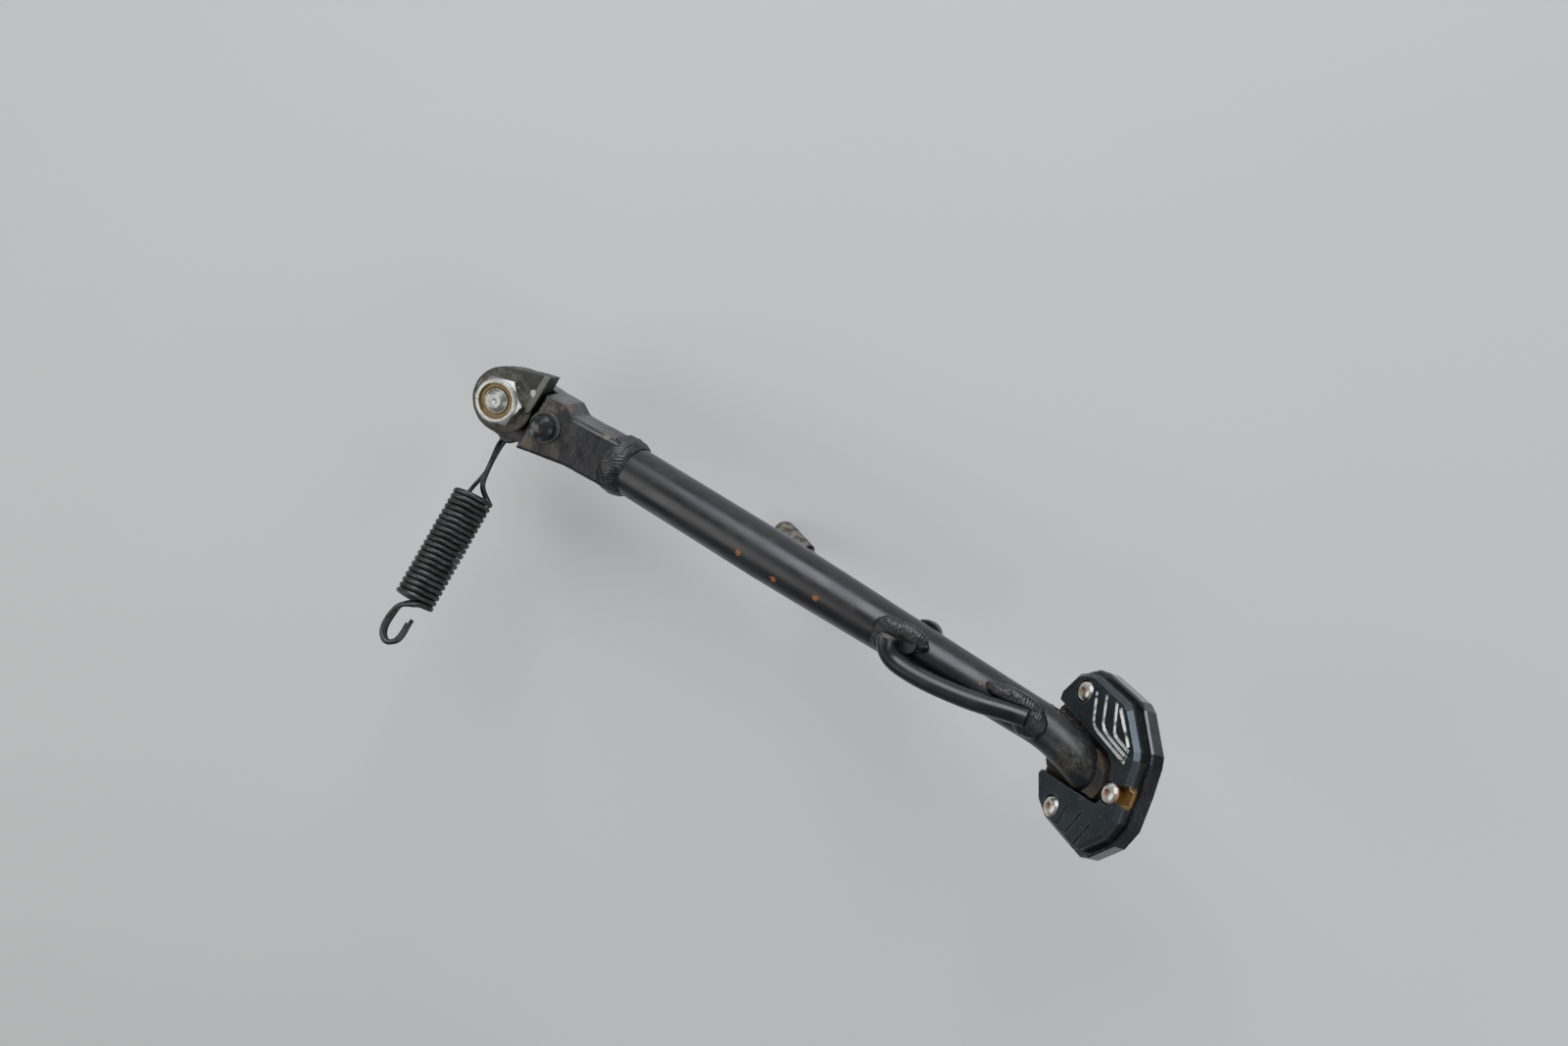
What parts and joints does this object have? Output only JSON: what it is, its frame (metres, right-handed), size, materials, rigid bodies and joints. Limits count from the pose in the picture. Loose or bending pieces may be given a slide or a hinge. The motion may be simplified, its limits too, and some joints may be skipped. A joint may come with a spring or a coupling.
{
  "type": "motorcycle side stand",
  "caption": "Motorcycle side stand with frame lug, pivot bolt, tube leg, kick tang, twin return springs and a wide foot pad.",
  "frame": {"origin": "on the pivot bolt axis at mid thickness of the forged leg head", "axes": "+Z along the pivot bolt towards its nut, +X from the pivot towards the foot, +Y completes the frame"},
  "size_m": [0.3697, 0.1666, 0.1512],
  "materials": {
    "black_steel": "satin",
    "cast_lug": "rough",
    "zinc_steel": "satin",
    "stainless": "polished",
    "bronze": "satin",
    "spring_steel": "matt",
    "grey_anodised": "satin",
    "black_anodised": "gloss",
    "rusty_steel": "rough",
    "tip_rubber": "matt"
  },
  "bodies": {
    "frame_side": {"frame_lug": "cast_lug", "pivot_bolt": "zinc_steel", "pivot_nut": "zinc_steel", "nut_locking_ring": "bronze", "thrust_washer_far": "zinc_steel", "thrust_washer_near": "zinc_steel"},
    "leg": {"leg_head": "black_steel", "pivot_bush": "bronze", "leg_tube": "black_steel", "head_weld": "black_steel", "stop_stud": "black_steel", "stud_collar": "black_steel", "spring_pin": "zinc_steel", "kick_tang": "black_steel", "tang_weld_front": "black_steel", "tang_weld_rear": "black_steel", "rest_prong": "black_steel", "prong_weld": "black_steel", "prong_cap": "tip_rubber", "foot_plate": "rusty_steel", "foot_weld": "rusty_steel", "pad_top": "grey_anodised", "pad_base": "black_anodised", "pad_screws": "stainless"},
    "return_springs": {"spring_outer": "spring_steel", "spring_inner": "spring_steel"}
  },
  "joints": [
    {"name": "leg_fold", "type": "hinge", "parent": "frame_side", "child": "leg", "pos_m": [0, 0, 0], "axis": [0, 0, 1], "range_deg": [-105, 0], "deforming": ["spring_outer", "spring_inner"]},
    {"name": "spring_swing", "type": "hinge", "parent": "leg", "child": "return_springs", "pos_m": [0.0025, -0.0176, -0.017], "axis": [0, 0, 1], "range_deg": [-20, 60]}
  ]
}
